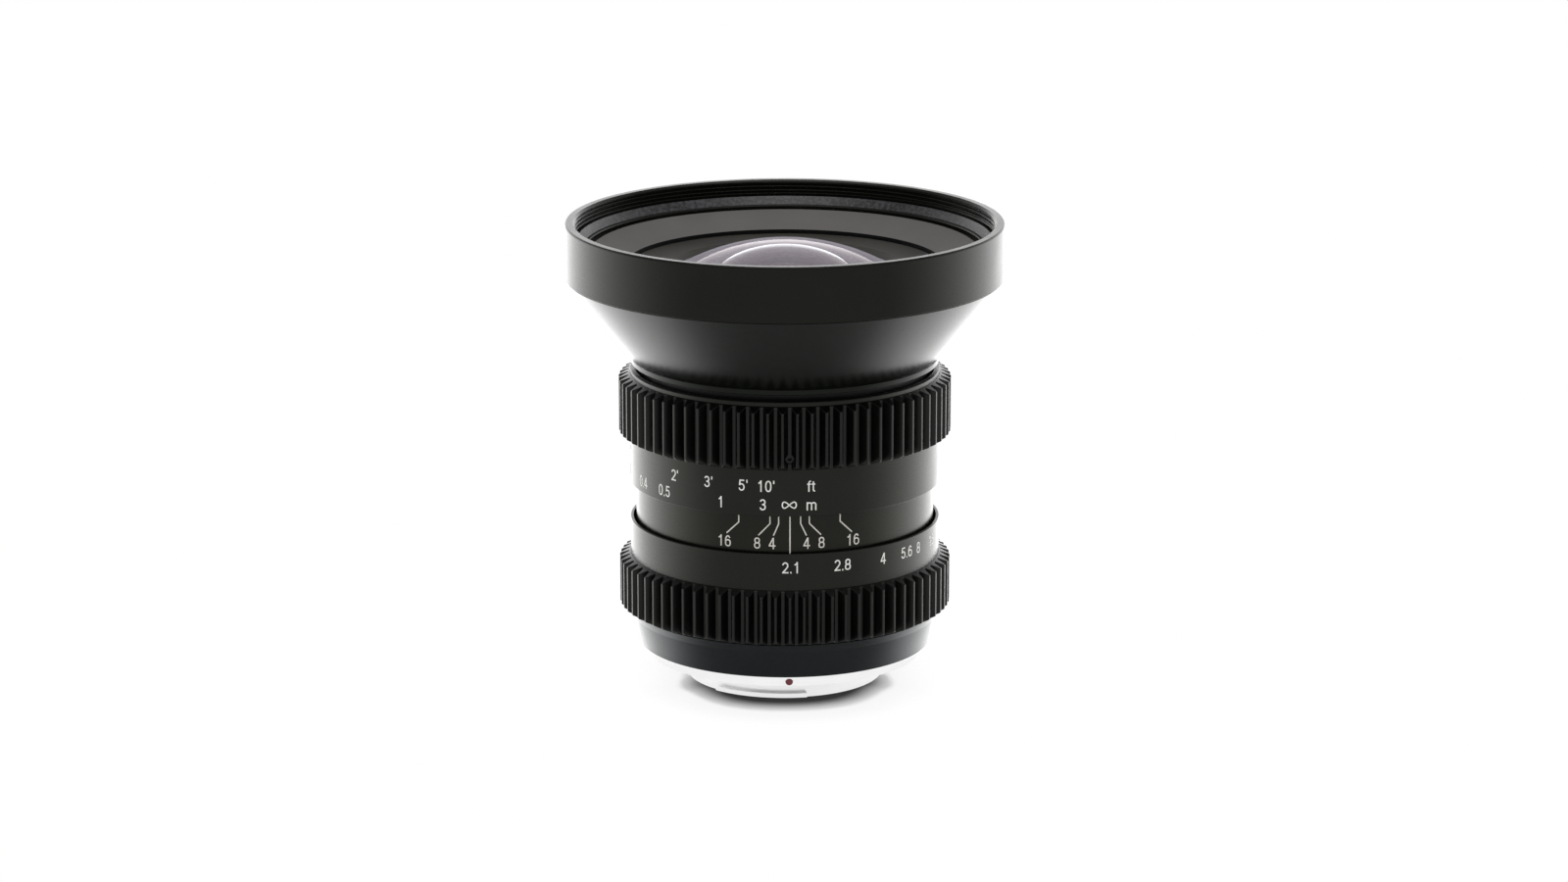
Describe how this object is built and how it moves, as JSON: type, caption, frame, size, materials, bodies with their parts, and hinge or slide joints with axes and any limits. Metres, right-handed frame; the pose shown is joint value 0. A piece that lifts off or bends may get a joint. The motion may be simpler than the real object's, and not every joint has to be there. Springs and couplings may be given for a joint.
{
  "type": "camera lens",
  "caption": "Wide-angle cinema prime lens with a conical front, toothed focus and iris rings, distance and stop scales and a bayonet mount.",
  "frame": {"origin": "centre of the bayonet tube's rear end, which is what the lens stands on", "axes": "+Z along the optical axis towards the front glass, -Y towards the index line and the red dot"},
  "size_m": [0.08, 0.08, 0.0849],
  "materials": {
    "hood_black": "satin black anodised",
    "cone_black": "satin black anodised",
    "name_ring_black": "matte black anodised",
    "olive_ring": "matte dark anodised",
    "gear_black": "satin black anodised",
    "scale_black": "satin black anodised with painted numbers",
    "barrel_black": "satin black anodised with painted marks",
    "rear_black": "satin black anodised",
    "inner_black": "matte black anodised",
    "blade_black": "matte black coating",
    "baffle_black": "matte",
    "flange_silver": "satin, turned",
    "screw_steel": "bright",
    "screw_black": "black oxide",
    "red_enamel": "gloss red",
    "brass_thread": "turned",
    "coated_glass": "polished, anti-reflection coating",
    "inner_glass": "polished"
  },
  "bodies": {
    "root_barrel": {"mount_flange": "flange_silver", "mount_screws": "screw_steel", "index_dot": "red_enamel", "rear_baffle": "baffle_black", "rear_barrel": "rear_black", "barrel_screws": "screw_steel", "index_barrel": "barrel_black", "guide_keys": "screw_steel", "focus_retainer": "inner_black", "focus_stop_pin": "screw_steel"},
    "focus_ring": {"focus_gear_ring": "gear_black", "focus_scale_ring": "scale_black", "gear_grub_screws": "screw_black", "focus_helicoid": "brass_thread"},
    "iris_ring": {"iris_scale_ring": "scale_black", "iris_gear_ring": "gear_black", "iris_drive_screw": "screw_black"},
    "carriage": {"front_hood": "hood_black", "cone_barrel": "cone_black", "name_ring": "name_ring_black", "front_retaining_ring": "olive_ring", "front_glass": "coated_glass", "front_cell": "inner_black", "front_cell_screws": "screw_steel", "second_glass": "inner_glass", "second_glass_ring": "inner_black", "helicoid_sleeve": "inner_black", "carriage_screws": "screw_steel", "lens_barrel": "inner_black", "third_glass": "inner_glass", "fourth_glass": "inner_glass", "fifth_glass": "inner_glass", "sixth_glass": "inner_glass", "first_spacer": "inner_black", "second_spacer": "inner_black", "third_spacer": "inner_black", "barrel_retaining_ring": "inner_black", "iris_housing": "inner_black", "iris_cover": "inner_black", "housing_screws": "screw_steel", "rear_cell": "inner_black", "seventh_glass": "inner_glass", "rear_spacer": "inner_black", "eighth_glass": "coated_glass", "rear_retaining_ring": "inner_black"},
    "cam_ring": {"iris_cam_ring": "brass_thread"},
    "blade_1": {"iris_blade_1": "blade_black"},
    "blade_2": {"iris_blade_2": "blade_black"},
    "blade_3": {"iris_blade_3": "blade_black"},
    "blade_4": {"iris_blade_4": "blade_black"},
    "blade_5": {"iris_blade_5": "blade_black"},
    "blade_6": {"iris_blade_6": "blade_black"},
    "blade_7": {"iris_blade_7": "blade_black"},
    "blade_8": {"iris_blade_8": "blade_black"}
  },
  "joints": [
    {"name": "focus_turn", "type": "hinge", "parent": "root_barrel", "child": "focus_ring", "pos_m": [0, 0, 0.047], "axis": [0, 0, 1], "range_deg": [0, 135]},
    {"name": "focus_slide", "type": "slide", "parent": "root_barrel", "child": "carriage", "axis": [0, 0, 1], "range_m": [0, 0.000525]},
    {"name": "iris_turn", "type": "hinge", "parent": "root_barrel", "child": "iris_ring", "pos_m": [0, 0, 0.02], "axis": [0, 0, -1], "range_deg": [0, 68]},
    {"name": "cam_turn", "type": "hinge", "parent": "carriage", "child": "cam_ring", "pos_m": [0, 0, 0.0196], "axis": [0, 0, -1], "range_deg": [0, 68]},
    {"name": "blade_turn_1", "type": "hinge", "parent": "carriage", "child": "blade_1", "pos_m": [0, -0.0115, 0.0175], "axis": [0, 0, 1], "range_deg": [0, 29.73]},
    {"name": "blade_turn_2", "type": "hinge", "parent": "carriage", "child": "blade_2", "pos_m": [0.00813, -0.00813, 0.0175], "axis": [0, 0, 1], "range_deg": [0, 29.73]},
    {"name": "blade_turn_3", "type": "hinge", "parent": "carriage", "child": "blade_3", "pos_m": [0.0115, 0, 0.0175], "axis": [0, 0, 1], "range_deg": [0, 29.73]},
    {"name": "blade_turn_4", "type": "hinge", "parent": "carriage", "child": "blade_4", "pos_m": [0.00813, 0.00813, 0.0175], "axis": [0, 0, 1], "range_deg": [0, 29.73]},
    {"name": "blade_turn_5", "type": "hinge", "parent": "carriage", "child": "blade_5", "pos_m": [0, 0.0115, 0.0175], "axis": [0, 0, 1], "range_deg": [0, 29.73]},
    {"name": "blade_turn_6", "type": "hinge", "parent": "carriage", "child": "blade_6", "pos_m": [-0.00813, 0.00813, 0.0175], "axis": [0, 0, 1], "range_deg": [0, 29.73]},
    {"name": "blade_turn_7", "type": "hinge", "parent": "carriage", "child": "blade_7", "pos_m": [-0.0115, 0, 0.0175], "axis": [0, 0, 1], "range_deg": [0, 29.73]},
    {"name": "blade_turn_8", "type": "hinge", "parent": "carriage", "child": "blade_8", "pos_m": [-0.00813, -0.00813, 0.0175], "axis": [0, 0, 1], "range_deg": [0, 29.73]}
  ],
  "couplings": [
    {"joint": "focus_slide", "follows": "focus_turn", "m_per_rad": 0.00022282},
    {"joint": "cam_turn", "follows": "iris_turn", "ratio": 1},
    {"joint": "blade_turn_1", "follows": "iris_turn", "ratio": 0.43717},
    {"joint": "blade_turn_2", "follows": "iris_turn", "ratio": 0.43717},
    {"joint": "blade_turn_3", "follows": "iris_turn", "ratio": 0.43717},
    {"joint": "blade_turn_4", "follows": "iris_turn", "ratio": 0.43717},
    {"joint": "blade_turn_5", "follows": "iris_turn", "ratio": 0.43717},
    {"joint": "blade_turn_6", "follows": "iris_turn", "ratio": 0.43717},
    {"joint": "blade_turn_7", "follows": "iris_turn", "ratio": 0.43717},
    {"joint": "blade_turn_8", "follows": "iris_turn", "ratio": 0.43717}
  ]
}
